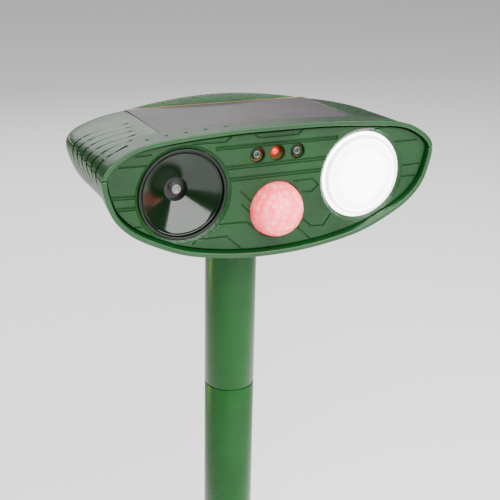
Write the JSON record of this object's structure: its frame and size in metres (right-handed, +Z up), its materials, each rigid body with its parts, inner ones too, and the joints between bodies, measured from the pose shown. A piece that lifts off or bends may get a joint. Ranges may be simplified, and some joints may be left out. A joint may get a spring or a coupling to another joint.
{
  "type": "ultrasonic pest repeller",
  "caption": "Solar ultrasonic animal repeller: eye-shaped green head with horn, infrared lens and flash lamp, swivelling on a plugged pole with a ground spike.",
  "frame": {"origin": "on the pole axis at soil level, at the underside of the spike flange", "axes": "+Z up along the pole, -Y the way the head faces, +X to the right of someone looking at its front"},
  "size_m": [0.1598, 0.0957, 0.3796],
  "materials": {
    "spike_plastic": "matte plastic",
    "pole_plastic": "gloss plastic",
    "shell_plastic": "matte plastic",
    "panel_plastic": "matte plastic",
    "horn_black": "gloss plastic",
    "knob_black": "matte plastic",
    "seal_rubber": "rubber",
    "lens_white": "gloss plastic",
    "ring_white": "gloss plastic",
    "reflector_chrome": "chrome",
    "led_yellow": "gloss plastic",
    "pir_pink": "gloss plastic",
    "led_red": "gloss plastic",
    "led_clear": "gloss plastic",
    "circuit_board": "matte plastic",
    "solar_brown": "matte plastic",
    "solar_dark": "gloss plastic",
    "brass_disc": "brass",
    "screw_steel": "brushed steel",
    "cell_sleeve": "gloss plastic"
  },
  "bodies": {
    "stake": {"ground_spike": "spike_plastic"},
    "lower_pole": {"pole_lower": "pole_plastic"},
    "upper_pole": {"pole_upper": "pole_plastic"},
    "head": {"upper_shell": "shell_plastic", "lower_shell": "shell_plastic", "front_panel": "panel_plastic", "speaker_horn": "horn_black", "speaker_ring": "horn_black", "horn_plug": "horn_black", "speaker_housing": "horn_black", "power_switch": "knob_black", "battery_tray": "knob_black", "lamp_lens": "lens_white", "lamp_ring": "ring_white", "lamp_board": "ring_white", "lamp_reflector": "reflector_chrome", "lamp_led": "led_yellow", "pir_lens": "pir_pink", "indicator_led": "led_red", "charge_led": "led_clear", "light_sensor": "led_clear", "front_board": "circuit_board", "frequency_board": "circuit_board", "sensitivity_board": "circuit_board", "solar_board": "solar_brown", "solar_cells": "solar_dark", "piezo_disc": "brass_disc", "case_screw_0": "screw_steel", "case_screw_1": "screw_steel", "case_screw_2": "screw_steel", "case_screw_3": "screw_steel", "board_screw_0": "screw_steel", "board_screw_1": "screw_steel", "contact_plate_left": "screw_steel", "contact_plate_right": "screw_steel", "usb_socket": "screw_steel", "pir_sensor": "screw_steel", "frequency_control": "screw_steel", "sensitivity_control": "screw_steel", "battery_cell_0": "cell_sleeve", "battery_cell_1": "cell_sleeve", "battery_cell_2": "cell_sleeve", "battery_cell_3": "cell_sleeve"},
    "frequency_dial": {"frequency_knob": "knob_black", "frequency_shaft": "screw_steel"},
    "sensitivity_dial": {"sensitivity_knob": "knob_black", "sensitivity_shaft": "screw_steel"},
    "power_key": {"power_button": "knob_black"},
    "usb_flap": {"usb_cover": "seal_rubber"},
    "battery_hatch": {"battery_door": "shell_plastic", "door_seal": "seal_rubber", "hinge_pin_left": "screw_steel", "hinge_pin_right": "screw_steel"}
  },
  "joints": [
    {"name": "lower_pole_slide", "type": "slide", "parent": "stake", "child": "lower_pole", "axis": [0, 0, 1], "range_m": [0, 0.018]},
    {"name": "upper_pole_slide", "type": "slide", "parent": "lower_pole", "child": "upper_pole", "axis": [0, 0, 1], "range_m": [0, 0.018]},
    {"name": "head_swivel", "type": "hinge", "parent": "upper_pole", "child": "head", "pos_m": [0, 0, 0.2196], "axis": [0, 0, 1], "continuous": true},
    {"name": "frequency_turn", "type": "hinge", "parent": "head", "child": "frequency_dial", "pos_m": [-0.043, 0.0268, 0.2576], "axis": [0, -1, 0], "range_deg": [-135, 135]},
    {"name": "sensitivity_turn", "type": "hinge", "parent": "head", "child": "sensitivity_dial", "pos_m": [0.043, 0.0268, 0.2576], "axis": [0, -1, 0], "range_deg": [-135, 135]},
    {"name": "power_press", "type": "slide", "parent": "head", "child": "power_key", "axis": [0, -1, 0], "range_m": [0, 0.0018], "stiffness_N_per_m": 700, "springref_m": -0.0007},
    {"name": "usb_cover_hinge", "type": "hinge", "parent": "head", "child": "usb_flap", "pos_m": [-0.04, 0.0274, 0.246], "axis": [1, 0, 0], "range_deg": [0, 95]},
    {"name": "battery_door_hinge", "type": "hinge", "parent": "head", "child": "battery_hatch", "pos_m": [0, 0.029, 0.231], "axis": [-1, 0, 0], "range_deg": [0, 110]}
  ]
}
